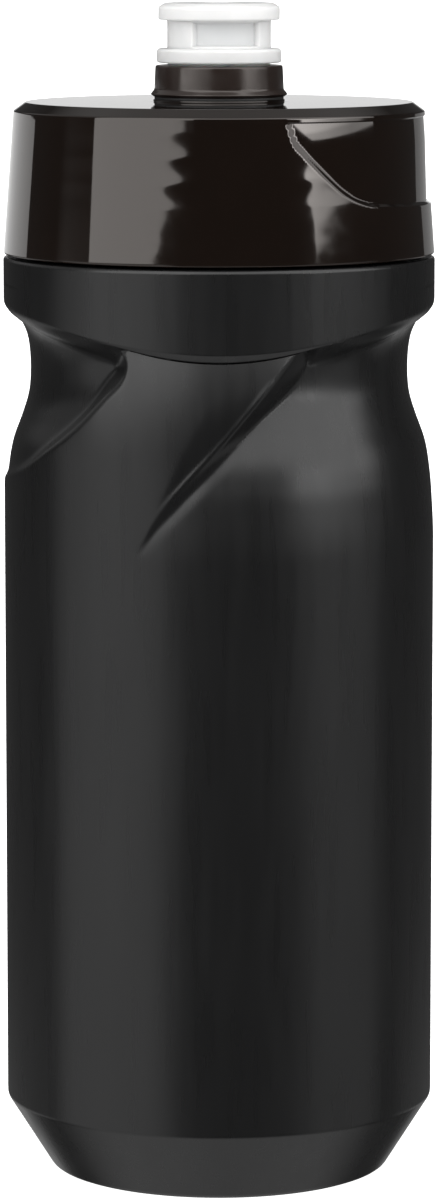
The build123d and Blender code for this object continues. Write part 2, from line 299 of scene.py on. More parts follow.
def thread_ridge(angle, z, start_z, turns, half_width, fade_turns=0.06):
    """1 on the crest of a right-hand thread that starts on the +X side, 0 away from it."""
    turn = angle / (2 * np.pi) - 0.25
    along = np.round((z - start_z) / PITCH - turn) + turn
    off = np.abs(z - start_z - PITCH * along) / half_width
    ends = ease(along / fade_turns) * ease((turns - along) / fade_turns)
    return np.where(off < 1, np.cos(np.clip(off, 0, 1) * np.pi / 2) ** 1.3, 0) * ends


# ---------------------------------------------------------------- materials

def new_material(name):
    material = bpy.data.materials.new(name)
    material.use_nodes = True
    nodes = material.node_tree.nodes
    return material, nodes, material.node_tree.links, nodes["Principled BSDF"]


def noise(nodes, links, size_mm, stretch_z=1.0, detail=2.0):
    """Noise in the object's own space, with features about size_mm across."""
    place_node = nodes.new("ShaderNodeTexCoord")
    scale = nodes.new("ShaderNodeMapping")
    scale.inputs["Scale"].default_value = (1, 1, 1 / stretch_z)
    texture = nodes.new("ShaderNodeTexNoise")
    texture.inputs["Scale"].default_value = 1 / (size_mm * MM)
    texture.inputs["Detail"].default_value = detail
    links.new(place_node.outputs["Object"], scale.inputs["Vector"])
    links.new(scale.outputs["Vector"], texture.inputs["Vector"])
    return texture.outputs["Fac"]


def spread(nodes, links, value, low, high):
    """Maps the usual range of a noise, 0.3 to 0.7, onto low to high."""
    scaled = nodes.new("ShaderNodeMapRange")
    scaled.inputs["From Min"].default_value = 0.3
    scaled.inputs["From Max"].default_value = 0.7
    scaled.inputs["To Min"].default_value = low
    scaled.inputs["To Max"].default_value = high
    links.new(value, scaled.inputs["Value"])
    return scaled.outputs["Result"]


def mixed(nodes, links, value, first, second):
    """A colour between two, by a 0 to 1 value."""
    mix = nodes.new("ShaderNodeMix")
    mix.data_type = "RGBA"
    mix.inputs["A"].default_value = (*first, 1)
    mix.inputs["B"].default_value = (*second, 1)
    links.new(value, mix.inputs["Factor"])
    return mix.outputs["Result"]


def bump(nodes, links, shader, layers):
    """Adds (height value, depth in millimetres) layers of fine relief to a shader."""
    normal = None
    for height, depth_mm in layers:
        node = nodes.new("ShaderNodeBump")
        node.inputs["Strength"].default_value = 1.0
        node.inputs["Distance"].default_value = depth_mm * MM
        links.new(height, node.inputs["Height"])
        if normal:
            links.new(normal, node.inputs["Normal"])
        normal = node.outputs["Normal"]
    links.new(normal, shader.inputs["Normal"])


def body_material():
    """Black low-density polyethylene: satin, with a fine grain and faint lines down the parison."""
    material, nodes, links, shader = new_material("body_black")
    tone = noise(nodes, links, 6, stretch_z=4)
    links.new(mixed(nodes, links, tone, (0.0024, 0.0024, 0.0025), (0.0040, 0.0040, 0.0041)),
              shader.inputs["Base Color"])
    links.new(spread(nodes, links, noise(nodes, links, 2.2, stretch_z=12), 0.26, 0.31),
              shader.inputs["Roughness"])
    shader.inputs["IOR"].default_value = 1.5
    grain = noise(nodes, links, 0.28, detail=3)
    streaks = noise(nodes, links, 0.9, stretch_z=60, detail=1)
    bump(nodes, links, shader, [(grain, 0.006), (streaks, 0.0035)])
    return material


def smoke_material(name, dark, pale, roughness):
    """Polished smoke-brown plastic, nearly opaque, with the slight ripple of a moulding."""
    material, nodes, links, shader = new_material(name)
    tone = noise(nodes, links, 9)
    links.new(mixed(nodes, links, tone, dark, pale),
              shader.inputs["Base Color"])
    links.new(spread(nodes, links, noise(nodes, links, 3), roughness * 0.7, roughness * 1.3),
              shader.inputs["Roughness"])
    shader.inputs["IOR"].default_value = 1.57
    shader.inputs["Specular Tint"].default_value = (1.0, 0.94, 0.90, 1)
    bump(nodes, links, shader, [(noise(nodes, links, 7, detail=1), 0.012)])
    return material


def mouth_material():
    """Soft translucent white elastomer."""
    material, nodes, links, shader = new_material("mouth_soft_white")
    tone = noise(nodes, links, 4)
    links.new(mixed(nodes, links, tone, (0.60, 0.60, 0.595), (0.65, 0.65, 0.65)),
              shader.inputs["Base Color"])
    links.new(spread(nodes, links, noise(nodes, links, 1.5), 0.32, 0.42),
              shader.inputs["Roughness"])
    shader.inputs["IOR"].default_value = 1.42
    shader.inputs["Subsurface Weight"].default_value = 0.6
    shader.inputs["Subsurface Radius"].default_value = (1.0, 0.95, 0.9)
    shader.inputs["Subsurface Scale"].default_value = 2.5 * MM
    bump(nodes, links, shader, [(noise(nodes, links, 0.5), 0.006)])
    return material


def hard_white_material(name, colour):
    """Natural polypropylene, stiff and slightly waxy."""
    material, nodes, links, shader = new_material(name)
    tone = noise(nodes, links, 5)
    darker = tuple(0.93 * c for c in colour)
    links.new(mixed(nodes, links, tone, darker, colour), shader.inputs["Base Color"])
    links.new(spread(nodes, links, noise(nodes, links, 1.2), 0.3, 0.4),
              shader.inputs["Roughness"])
    shader.inputs["Subsurface Weight"].default_value = 0.25
    shader.inputs["Subsurface Scale"].default_value = 1.0 * MM
    bump(nodes, links, shader, [(noise(nodes, links, 0.6), 0.004)])
    return material


def rubber_material(name, colour, roughness):
    """Seal rubber with a dusty, slightly uneven surface."""
    material, nodes, links, shader = new_material(name)
    tone = noise(nodes, links, 2)
    darker = tuple(0.85 * c for c in colour)
    links.new(mixed(nodes, links, tone, darker, colour), shader.inputs["Base Color"])
    links.new(spread(nodes, links, noise(nodes, links, 0.8), roughness - 0.08, roughness + 0.08),
              shader.inputs["Roughness"])
    bump(nodes, links, shader, [(noise(nodes, links, 0.25), 0.008)])
    return material


BODY_BLACK = body_material()
LID_SMOKE = smoke_material("lid_smoke", (0.0026, 0.0014, 0.0009), (0.0042, 0.0023, 0.0015), 0.04)
SPOUT_SMOKE = smoke_material("spout_smoke", (0.013, 0.0085, 0.0070), (0.018, 0.012, 0.010), 0.2)
MOUTH_WHITE = mouth_material()
CORE_WHITE = hard_white_material("core_white", (0.70, 0.71, 0.68))
PIN_WHITE = hard_white_material("pin_white", (0.78, 0.78, 0.75))
GASKET_GREY = rubber_material("gasket_silicone", (0.55, 0.55, 0.53), 0.5)
SEAL_BLACK = rubber_material("seal_black", (0.02, 0.02, 0.02), 0.55)


# ---------------------------------------------------------------- bottle body

FINE = 600                  # points round the waist, twice those round the rest of the outside
MIDDLE = 300
COARSE = 150
SKIN = 0.05                 # the wall lies this far inside the CAD radius, and the seam stands out
SIDE_R = BODY_R - SKIN
QUARTER = SIDE_R * math.pi / 2
WALL = 1.2
NECK_THREAD_START = 167.8
NECK_THREAD_TURNS = 1.75
SEAM_WIDTH = 0.3
BASE_SEAM_Z = 12.4
WAIST = curve_through(
    [
        (105.0, SIDE_R),
        (109.5, SIDE_R),
        (115.7, 36.42),
        (121.0, 35.98),
        (126.1, 35.1),
        (130.7, 33.45),
        (135.3, 32.1),
        (138.4, 31.85),
        (141.5, 32.1),
        (144.6, 32.85),
        (147.1, 34.0),
        (150.0, 35.0),
    ]
)

# Lines on the unrolled wall: millimetres round from the front towards +X, and height.
PANEL_LEFT = smooth_line(
    [
        (-QUARTER - 7.5, 120.4),
        (-QUARTER, 119.4),
        (-QUARTER + 7.5, 120.4),
        (-40.3, 122.65),
        (-32.0, 126.7),
        (-25.8, 130.7),
        (-20.4, 135.5),
        (-17.2, 138.4),
        (-16.2, 141.0),
        (-17.0, 143.4),
        (-19.5, 145.4),
        (-23.5, 147.0),
    ]
)
PANEL_RIGHT = smooth_line(
    [
        (-13.9, 110.6),
        (-11.1, 115.2),
        (-8.1, 119.0),
        (-5.3, 122.2),
        (1.3, 129.3),
        (7.4, 136.4),
        (10.4, 140.0),
        (12.6, 142.4),
        (15.6, 145.5),
    ]
)
FACET_EDGE = smooth_line(
    [
        (-14.2, 109.5),
        (-10.9, 116.7),
        (-8.1, 122.2),
        (-4.0, 130.5),
        (0.0, 138.0),
    ]
)

# How wide the slanting walls beside the panel are, by height.
LEFT_WIDTH = curve_through(
    [
        (119.0, 0.8),
        (123.0, 1.3),
        (126.0, 1.8),
        (131.0, 2.7),
        (135.7, 3.2),
        (139.0, 3.7),
        (143.0, 4.0),
    ]
)
RIGHT_WIDTH = curve_through(
    [
        (110.5, 0.4),
        (114.0, 0.8),
        (117.0, 1.2),
        (123.0, 1.6),
        (129.0, 2.2),
        (132.3, 2.8),
        (135.4, 3.9),
        (138.5, 4.7),
        (143.0, 3.9),
    ]
)
PANEL_FULL_Z = 126.0        # below this height a panel has the barrel's radius
PANEL_LEAN = 1.15           # at PANEL_TOP_Z it is this far inside the collar
PANEL_TOP_Z = 142.0
FACET_SLOPE = 0.17          # the panel falls away towards its right edge, low down
FACET_FADE_Z = 131.0        # the middle of the height over which that slope fades out
FACET_FADE_HALF = 7.0
LIP_HEIGHT = 0.30           # a raised lip along the panel's right edge
LIP_WIDTH = 0.8
LIP_LOW_Z = 112.0
LIP_HIGH_Z = 139.0
GROOVE_DEPTH = 0.16         # along the foot of the right wall, low down
GROOVE_BELOW = 2.2          # its width away from the wall, and up the wall
GROOVE_ABOVE = 0.7
GROOVE_LOW_Z = 110.0
GROOVE_HIGH_Z = 128.0
COLLAR_EDGE_Z = 143.4       # the collar's lower edge at the front
COLLAR_RISE = 6.8           # how much higher it is at the sides
COLLAR_CHAMFER = 0.75       # radius lost per millimetre of chamfer under that edge, at the front
UNDER_SLOPE = 1.2           # radius lost per millimetre below the chamfer
UNDER_SLOPE_OVER_PANEL = 7.0    # how much more of it over the panel's top
UNDER_LIMIT = 8.0           # most radius lost there in all
COLLAR_ROUND_R = 5.5        # at the sides the edge is rounded instead
COLLAR_ROUND_Z = 3.6
CHAMFER_HIGH = 1.3          # height of the chamfer, over the panel's middle and elsewhere
CHAMFER_LOW = 0.3
CREVICE_END = 17.0          # a crevice parts the chamfer from the panel's top, this far each way
CREVICE_DEPTH = 0.45
CREVICE_WIDTH = 0.22


def collar_edge(angle):
    """Height of the collar's lower edge."""
    return COLLAR_EDGE_Z + COLLAR_RISE * np.sin(angle) ** 2


def chamfer_foot(angle):
    """Height of the lower end of the chamfer under the collar."""
    towards_end = (SIDE_R * np.sin(angle) / CREVICE_END) ** 2
    height = CHAMFER_LOW + (CHAMFER_HIGH - CHAMFER_LOW) * np.maximum(1 - towards_end, 0)
    return collar_edge(angle) - height


def collar_surface(angle, z):
    """Radius of the collar and of its underside, which falls away below its edge."""
    drop = np.maximum(collar_edge(angle) - z, 0)
    below_foot = np.maximum(chamfer_foot(angle) - z, 0)
    over_panel = ease((CREVICE_END - np.abs(SIDE_R * np.sin(angle))) / 3)
    under_slope = UNDER_SLOPE + UNDER_SLOPE_OVER_PANEL * over_panel
    chamfer = COLLAR_CHAMFER * (drop - below_foot) + under_slope * below_foot
    under = np.clip(drop / COLLAR_ROUND_Z, 0, 0.995)
    rounding = COLLAR_ROUND_R * (1 - np.sqrt(1 - under**2))
    at_side = ease((np.abs(np.sin(angle)) - 0.45) / 0.5)
    return SIDE_R - np.minimum(chamfer, UNDER_LIMIT) * (1 - at_side) - rounding * at_side


def side_radius(angle, z):
    """Radius of the body's outer side between the base and the collar's top."""
    round_mm = SIDE_R * np.arcsin(np.clip(np.sin(angle), -1, 1))
    waist = np.minimum(WAIST(z), SIDE_R)
    from_left = -beside(PANEL_LEFT, round_mm, z)
    from_right = beside(PANEL_RIGHT, round_mm, z)
    lean = np.maximum((z - PANEL_FULL_Z) / (PANEL_TOP_Z - PANEL_FULL_Z), 0)
    facet = smooth_max(-beside(FACET_EDGE, round_mm, z), 0.0, 0.5)
    facet_here = 1 - ease((z - FACET_FADE_Z + FACET_FADE_HALF) / (2 * FACET_FADE_HALF))
    panel = SIDE_R - PANEL_LEAN * lean**2 - FACET_SLOPE * facet * facet_here
    panel = np.maximum(panel, waist)
    left_width = np.maximum(LEFT_WIDTH(z), 0.8)
    right_width = np.maximum(RIGHT_WIDTH(z), 0.4)
    on_panel = ramp(from_left, left_width, 0.35, 0.7) * ramp(from_right, right_width, 0.3, 0.4)
    up_lip = np.clip((z - LIP_LOW_Z) / (LIP_HIGH_Z - LIP_LOW_Z), 0, 1)
    lip = ease(1 - np.abs(from_right - 0.2) / LIP_WIDTH) * np.sin(np.pi * up_lip) ** 0.5
    r = waist + (panel + LIP_HEIGHT * lip - waist) * on_panel
    up_groove = np.clip((z - GROOVE_LOW_Z) / (GROOVE_HIGH_Z - GROOVE_LOW_Z), 0, 1)
    past_foot = -from_right - right_width
    across = np.where(past_foot > 0, 1 - past_foot / GROOVE_BELOW, 1 + past_foot / GROOVE_ABOVE)
    r = r - GROOVE_DEPTH * np.sin(np.pi * up_groove) ** 0.7 * np.clip(across, 0, 1) ** 1.5
    x = SIDE_R * np.sin(angle)
    below_foot = chamfer_foot(angle) - z
    in_crevice = np.where(below_foot > 0, np.clip((CREVICE_WIDTH - below_foot) / 0.08, 0, 1), 0)
    r = r - CREVICE_DEPTH * in_crevice * ease((CREVICE_END - np.abs(x)) / 1.5)
    fillet = 0.03 + 1.2 * ease((np.abs(x) - CREVICE_END + 0.5) / 2)
    return np.minimum(smooth_max(r, collar_surface(angle, z), fillet), SIDE_R)


def seam(angle):
    """1 on the mould's parting lines, which run up the +X and -X sides."""
    return np.exp(-((SIDE_R * np.cos(angle) / SEAM_WIDTH) ** 2))


def outer_side(angle, r, z):
    return side_radius(angle, z) + SKIN * seam(angle), z


ROWS_LEVEL = 128.0          # rows of the waist are level up to here, and again from ROWS_END
ROWS_FOOT = 142.1           # the row that follows the chamfer's foot
ROWS_END = 156.0


def between(value, low, high, new_low, new_high):
    return new_low + (value - low) * (new_high - new_low) / (high - low)


def waist_side(angle, r, z):
    """As outer_side, with rows that follow the collar's edge and the foot of its chamfer."""
    edge = collar_edge(angle)
    foot = chamfer_foot(angle)
    below = between(z, ROWS_LEVEL, ROWS_FOOT, ROWS_LEVEL, foot)
    chamfer = between(z, ROWS_FOOT, COLLAR_EDGE_Z, foot, edge)
    above_edge = between(z, COLLAR_EDGE_Z, ROWS_END, edge, ROWS_END)
    rows = np.where(z < ROWS_LEVEL, z, below)
    rows = np.where(z > ROWS_FOOT, chamfer, rows)
    rows = np.where(z > COLLAR_EDGE_Z, above_edge, rows)
    return outer_side(angle, r, rows)


def base_shape(angle, r, z):
    """The parting line on the sloping base, and the pinch-off line across its middle."""
    y = r * np.cos(angle)
    pinch = np.exp(-((y / 0.55) ** 2)) * ease((19 - r) / 3)
    sloping = ease((r - 29) / 2)
    return r + SKIN * sloping * seam(angle), z - 0.45 * pinch


def collar_top(angle, r, z):
    return r + SKIN * seam(angle) * ease((r - SIDE_R + 2) / 2), z


def neck_side(angle, r, z):
    ridge = thread_ridge(angle, z, NECK_THREAD_START, NECK_THREAD_TURNS, THREAD_HALF_WIDTH)
    return r + THREAD_DEPTH * ridge, z


def bottle_body():
    """The whole skin of the body: base, barrel, waist, collar, threaded neck and the inside."""
    neck_inner_r = NECK_R - NECK_WALL
    base = rounded(
        [
            (0, 3.0, 0),
            (9, 2.85, 12),
            (18.5, 1.6, 4),
            (21.8, 0, 1.2),
            (28.9, 0, 1.6),
            (SIDE_R, BASE_SEAM_Z, 1.2),
            (SIDE_R, BASE_SEAM_Z + 2.5, 0),
        ]
    )
    barrel = [(SIDE_R, z) for z in np.linspace(BASE_SEAM_Z + 4, 104, 10)]
    waist_rows = [
        (106.0, 110.0, 4),
        (110.0, ROWS_LEVEL, 34),
        (ROWS_LEVEL, ROWS_FOOT - 0.5, 26),
        (ROWS_FOOT - 0.5, ROWS_FOOT, 6),
        (ROWS_FOOT, COLLAR_EDGE_Z, 6),
        (COLLAR_EDGE_Z, COLLAR_EDGE_Z + 0.6, 3),
        (COLLAR_EDGE_Z + 0.6, 151.0, 6),
    ]
    waist = [(SIDE_R, z) for z in row_heights(waist_rows)]
    collar = [(SIDE_R, z) for z in np.linspace(152.5, COLLAR_TOP - 1.4, 3)]
    shoulder = rounded(
        [
            (SIDE_R, COLLAR_TOP - 1.05, 0),
            (SIDE_R, COLLAR_TOP, 0.7),
            (NECK_R, COLLAR_TOP, 0.6),
            (NECK_R, COLLAR_TOP + 2, 0),
        ]
    )
    neck = [(NECK_R, z) for z in np.arange(COLLAR_TOP + 2.4, NECK_TOP - 1.0, 0.5)]
    rim = rounded(
        [
            (NECK_R, NECK_TOP - 0.95, 0),
            (NECK_R, NECK_TOP, 0.5),
            (neck_inner_r, NECK_TOP, 0.5),
            (neck_inner_r, NECK_TOP - 3, 0),
        ]
    )
    inner_collar_r = SIDE_R - 2.6
    inside = rounded(
        [
            (neck_inner_r, NECK_TOP - 4, 0),
            (neck_inner_r, COLLAR_TOP - WALL, 0.8),
            (inner_collar_r, COLLAR_TOP - WALL, 1.5),
            (inner_collar_r, 150.5, 0),
        ]
    )
    inside += [(WAIST(z) - WALL, z) for z in np.arange(148, 106, -2.0)]
    inside += rounded(
        [
            (SIDE_R - WALL, 104, 0),
            (SIDE_R - WALL, BASE_SEAM_Z + 0.4, 2),
            (28.2, WALL, 2),
            (21.2, WALL, 1),
            (17.8, 1.6 + WALL, 3),
            (8, 2.85 + WALL, 8),
            (0, 3.0 + WALL, 0),
        ]
    )
    base = spaced(base, 1.6)
    inside = spaced(inside, 6.0)
    parts = [
        (base, MIDDLE, base_shape),
        (barrel, MIDDLE, outer_side),
        (waist, FINE, waist_side),
        (collar, MIDDLE, outer_side),
        (spaced(shoulder, 1.5), MIDDLE, collar_top),
        (neck, COARSE, neck_side),
        (rim, COARSE, None),
        (inside, COARSE, None),
    ]
    grids = [turned_grid(points, segments, shape) for points, segments, shape in parts]
    return mesh_object("bottle_body_skin", grids, closed=False)


# ---------------------------------------------------------------- lid

LID_BOTTOM_R = 36.65
LID_BEVEL_R = 34.9
LID_BEVEL_Z = 182.0
LID_TOP = 183.5
LID_SLOPE = (LID_BOTTOM_R - LID_BEVEL_R) / (LID_BEVEL_Z - LID_BOTTOM)
LID_MIDDLE_R = 35.3         # about the wall's middle radius, for the set-in part's edge
SET_IN_TOP_R = 34.8
SET_IN_SLOPE = 0.47 / 16.0
SET_IN_CURL = 0.20          # the set-in part leans in a little more at its top, over this height
SET_IN_CURL_HEIGHT = 5.0
SET_IN_EDGE = curve_through(
    [
        (11.0, 182.0),
        (12.1, 178.3),
        (13.8, 176.0),
        (15.9, 173.7),
        (18.0, 171.5),
        (20.0, 169.6),
        (21.9, 168.25),
        (23.8, 167.4),
        (28.4, 166.8),
        (35.5, 166.4),
    ]
)
STEP_WIDTH = 0.55
SINK_DEPTH = 0.006
SINK_HALF_WIDTH = 2.1
LID_THREAD_START = 166.2
LID_THREAD_TURNS = 2.75


def cone_radius(z):
    """Radius of the lid's outer wall where it isn't set in."""
    return LID_BEVEL_R + LID_SLOPE * (LID_BEVEL_Z - z)


def lid_wall(angle, r, z):
    """The lid's outer wall: a cone, set in on the +X side, with sink marks over its thread."""
    x = LID_MIDDLE_R * np.sin(angle)
    slope = slope_of(SET_IN_EDGE, x)
    inside = (z - SET_IN_EDGE(x)) / np.sqrt(1 + slope**2)
    cone = cone_radius(z)
    set_in = SET_IN_TOP_R + SET_IN_SLOPE * (LID_BEVEL_Z - z)
    up_curl = np.clip((z - LID_BEVEL_Z + SET_IN_CURL_HEIGHT) / SET_IN_CURL_HEIGHT, 0, 1)
    set_in = set_in - SET_IN_CURL * up_curl**1.5
    set_in = np.minimum(set_in, cone)
    r = cone + (set_in - cone) * ease(inside / STEP_WIDTH)
    sink = thread_ridge(angle, z, LID_THREAD_START, LID_THREAD_TURNS, SINK_HALF_WIDTH, 0.03)
    return r - SINK_DEPTH * sink, z


def lid_inner_wall(angle, r, z):
    ridge = thread_ridge(angle, z, LID_THREAD_START, LID_THREAD_TURNS, THREAD_HALF_WIDTH)
    return r - THREAD_DEPTH * ridge, z


def lid_shell():
    """The lid: bevelled top with the spout's boss and hole, ribbed underside, threaded inside."""
    bore_r = 33.3
    skirt_z = 165.0
    skirt_r = 34.75
    underside = 180.9
    rib_bottom = 176.6
    hole_r = 10.55
    bottom = rounded(
        [
            (skirt_r, LID_BOTTOM + 1.2, 0),
            (skirt_r, LID_BOTTOM, 0.3),
            (LID_BOTTOM_R, LID_BOTTOM, 0.35),
            (LID_BOTTOM_R - LID_SLOPE * 1.0, LID_BOTTOM + 1.0, 0),
        ]
    )
    wall_rows = [
        (LID_BOTTOM + 1.2, 165.5, 13),
        (165.5, 169.0, 18),
        (169.0, 178.0, 30),
        (178.0, 181.2, 20),
    ]
    wall = [(cone_radius(z), z) for z in row_heights(wall_rows)]
    bevel = rounded(
        [
            (LID_BEVEL_R + LID_SLOPE * 0.7, LID_BEVEL_Z - 0.7, 0),
            (LID_BEVEL_R, LID_BEVEL_Z, 0.35),
            (33.9, LID_BEVEL_Z + 0.72, 0),
        ],
        steps=6,
    )
    top = rounded(
        [
            (33.8, LID_BEVEL_Z + 0.79, 0),
            (32.9, LID_TOP - 0.06, 0.5),
            (12.0, LID_TOP, 0.3),
            (11.15, LID_TOP + 0.05, 0.15),
            (11.1, 183.9, 0.12),
            (hole_r, 183.9, 0.12),
            (hole_r, underside, 0.2),
            (11.5, underside, 0),
        ]
    )
    ribs = rounded(
        [
            (13.0, underside, 0),
            (26.4, underside, 0.5),
            (26.4, rib_bottom, 0.3),
            (27.8, rib_bottom, 0.3),
            (27.8, underside, 0.3),
            (bore_r, underside, 0.4),
            (bore_r, 179.2, 0),
        ]
    )
    inner = [(bore_r, z) for z in np.arange(179.0, skirt_z + 0.2, -0.5)]
    skirt = [(bore_r, skirt_z), (skirt_r, LID_BOTTOM + 1.4)]
    parts = [
        (bottom, FINE, None),
        (wall, FINE, lid_wall),
        (bevel, FINE, None),
        (spaced(top, 2.0), MIDDLE, None),
        (spaced(ribs, 2.0), COARSE, None),
        (inner, COARSE, lid_inner_wall),
        (spaced(skirt, 0.8), MIDDLE, lid_inner_wall),
    ]
    grids = [turned_grid(points, segments, shape) for points, segments, shape in parts]
    return mesh_object("lid_shell_skin", grids, closed=True)


# ---------------------------------------------------------------- spout, pin, nozzle and seals

def spout_tube():
    """The sleeve: a pointed ring above the lid, a barb that snaps in under it, a long lower end."""
    top = tube_high[2]
    bottom = tube_low[2]
    ring_r = tube_high[0]
    corners = [
        (8.75, top, 0.25),
        (10.8, top, 0.35),
        (11.0, 185.5, 0.5),
        (ring_r, 184.75, 0.12),
        (11.05, 184.3, 0.1),
        (10.45, 184.3, 0.1),
        (10.45, 180.7, 0.1),
        (10.85, 180.7, 0.15),
        (10.45, 179.3, 0.3),
        (10.45, bottom, 0.3),
        (9.3, bottom, 0.3),
        (9.3, 184.6, 0.15),
        (8.75, 184.6, 0.15),
    ]
    return turned("spout_tube_skin", corners, segments=256, step=1.2)


def plug_post():
    """A ring in the tube's lower end, three arms and the pin that closes the nozzle's hole."""
    bottom = pin_low[2]
    top = pin_high[2]
    outer_r = pin_high[0]
    pin_r = 3.0
    ring = turned(
        "plug_post_skin",
        [
            (outer_r, bottom, 0.3),
            (outer_r, bottom + 2, 0.3),
            (outer_r - 1.4, bottom + 2, 0.3),
            (outer_r - 1.4, bottom, 0.3),
        ],
    )
    pin = turned(
        "pin",
        [
            (0, bottom, 0),
            (pin_r, bottom, 0.3),
            (pin_r, top, 0.7),
            (0, top, 0),
        ],
        segments=96,
        closed=False,
    )
    parts = [ring, pin]
    for k in range(3):
        parts.append(spider_arm(k * 2 * math.pi / 3, pin_r - 0.4, outer_r - 1.0, bottom))
    return joined(parts)


def spider_arm(angle, inner_r, outer_r, bottom):
    """One rounded bar from the pin to the ring."""
    mesh = bpy.data.meshes.new("arm")
    arm = bpy.data.objects.new("arm", mesh)
    bpy.context.scene.collection.objects.link(arm)
    half = 0.9
    corners = [
        (r, side, height)
        for r in (inner_r, outer_r)
        for side in (-half, half)
        for height in (bottom + 0.1, bottom + 1.9)
    ]
    points = [
        (
            (r * math.cos(angle) - side * math.sin(angle)) * MM,
            (r * math.sin(angle) + side * math.cos(angle)) * MM,
            height * MM,
        )
        for r, side, height in corners
    ]
    faces = [(0, 1, 3, 2), (4, 6, 7, 5), (0, 4, 5, 1), (2, 3, 7, 6), (0, 2, 6, 4), (1, 5, 7, 3)]
    mesh.from_pydata(points, [], faces)
    bevel = arm.modifiers.new("edges", "BEVEL")
    bevel.width = 0.3 * MM
    bevel.segments = 3
    clean(arm)
    return arm


def joined(objects):
    """One object from several that overlap, as a single closed skin."""
    base = objects[0]
    for other in objects[1:]:
        union = base.modifiers.new("join", "BOOLEAN")
        union.operation = "UNION"
        union.solver = "EXACT"
        union.object = other
    bpy.context.view_layer.update()
    depsgraph = bpy.context.evaluated_depsgraph_get()
    mesh = bpy.data.meshes.new_from_object(base.evaluated_get(depsgraph))
    base.modifiers.clear()
    base.data = mesh
    for other in objects[1:]:
        bpy.data.objects.remove(other)
    clean(base)
    return base


def nozzle_core():
    """The sliding stem: a foot with the O-ring's groove, and a thin top with a ridge for the cap."""
    land_top = 178.5
    corners = [
        (6.2, 174.6, 0.3),
        (9.1, 174.6, 0.3),
        (9.1, 175.5, 0.1),
        (7.5, 175.5, 0.1),
        (7.5, 177.5, 0.1),
        (9.1, 177.5, 0.1),
        (9.1, land_top, 0.15),
        (8.6, land_top, 0.1),
        (8.6, 189.95, 0.1),
        (7.4, 189.95, 0.1),
        (7.4, 191.0, 0.1),
        (7.9, 191.0, 0.1),
        (7.9, 191.9, 0.1),
        (7.4, 191.9, 0.1),
        (7.4, 198.6, 0.3),
        (4.2, 198.6, 0.2),
        (4.2, 197.2, 0.2),
        (6.2, 197.2, 0.4),
    ]
    return turned("nozzle_core_skin", corners, step=1.5)


MOUTH_WAIST_R = 8.8
POCKET_DEPTH = 0.95
POCKET_HALF = math.radians(41.5)
POCKET_MIDDLE = math.radians(10)
POCKET_LOW = 192.75
POCKET_HIGH = 197.05


def mouth_pockets(angle, r, z):
    """The pockets in the waist, at the front and mirrored at the back."""
    folded = np.arcsin(np.clip(np.sin(angle), -1, 1))
    across = POCKET_HALF - np.abs(folded - POCKET_MIDDLE)
    sideways = ease(across * MOUTH_WAIST_R / 0.5)
    upright = ease((z - POCKET_LOW) / 0.35) * ease((POCKET_HIGH - z) / 0.35)
    outside = ease((r - 8.0) / 0.5)
    return r - POCKET_DEPTH * sideways * upright * outside, z


def mouthpiece():
    """The soft cap: two flanges with a waist between them, and the drinking hole."""
    bottom = mouth_low[2]
    top = mouth_high[2]
    corners = [
        (7.45, bottom, 0.1),
        (10.55, bottom, 0.35),
        (10.55, 192.4, 0.45),
        (MOUTH_WAIST_R, 192.4, 0.3),
        (MOUTH_WAIST_R, 197.2, 0.3),
        (10.3, 197.2, 0.35),
        (10.3, 199.4, 0.6),
        (9.2, top, 1.5),
        (3.12, top, 0.3),
        (3.12, 198.65, 0.15),
        (7.45, 198.65, 0.25),
        (7.45, 191.95, 0.1),
        (7.95, 191.95, 0.1),
        (7.95, 190.95, 0.1),
        (7.45, 190.95, 0.1),
    ]
    return turned("mouthpiece_skin", corners, 384, step=0.22, steps=5, shape=mouth_pockets)


def lid_gasket():
    """The ring between the neck's rim and the lid, with a lip down inside the neck."""
    low = gasket_low[2]
    high = gasket_high[2]
    corners = [
        (28.0, low, 0.3),
        (29.6, low, 0.6),
        (29.6, NECK_TOP + 0.05, 0.2),
        (33.0, NECK_TOP + 0.05, 0.4),
        (33.0, high, 0.4),
        (28.0, high, 0.3),
    ]
    return turned("lid_gasket_skin", corners, segments=256, step=1.0)


def o_ring():
    """The seal in the groove of the stem's foot."""
    section_r = 0.85
    middle_r = o_ring_high[0] - section_r
    middle_z = (o_ring_low[2] + o_ring_high[2]) / 2
    round_section = [
        (middle_r + section_r * math.cos(a), middle_z + section_r * math.sin(a))
        for a in np.linspace(0, 2 * np.pi, 20, endpoint=False)
    ]
    return mesh_object("nozzle_seal_skin", [turned_grid(round_section, 160)], closed=True)


def washer():
    """The thin ring between the lid's boss and the spout tube."""
    corners = [
        (10.6, washer_low[2], 0.08),
        (10.95, washer_low[2], 0.08),
        (10.95, washer_high[2], 0.08),
        (10.6, washer_high[2], 0.08),
    ]
    return turned("spout_seal_skin", corners, segments=160)


place(bottle_body(), "bottle", "bottle_body", BODY_BLACK)
place(lid_shell(), "lid", "lid_shell", LID_SMOKE)
place(spout_tube(), "lid", "spout_tube", SPOUT_SMOKE)
place(plug_post(), "lid", "plug_post", PIN_WHITE)
place(washer(), "lid", "spout_seal", SEAL_BLACK)
place(lid_gasket(), "lid_carrier", "lid_gasket", GASKET_GREY)
place(nozzle_core(), "nozzle", "nozzle_core", CORE_WHITE)
place(o_ring(), "nozzle", "nozzle_seal", SEAL_BLACK)
place(mouthpiece(), "nozzle", "mouthpiece", MOUTH_WHITE)


# ---------------------------------------------------------------- floor, light and camera

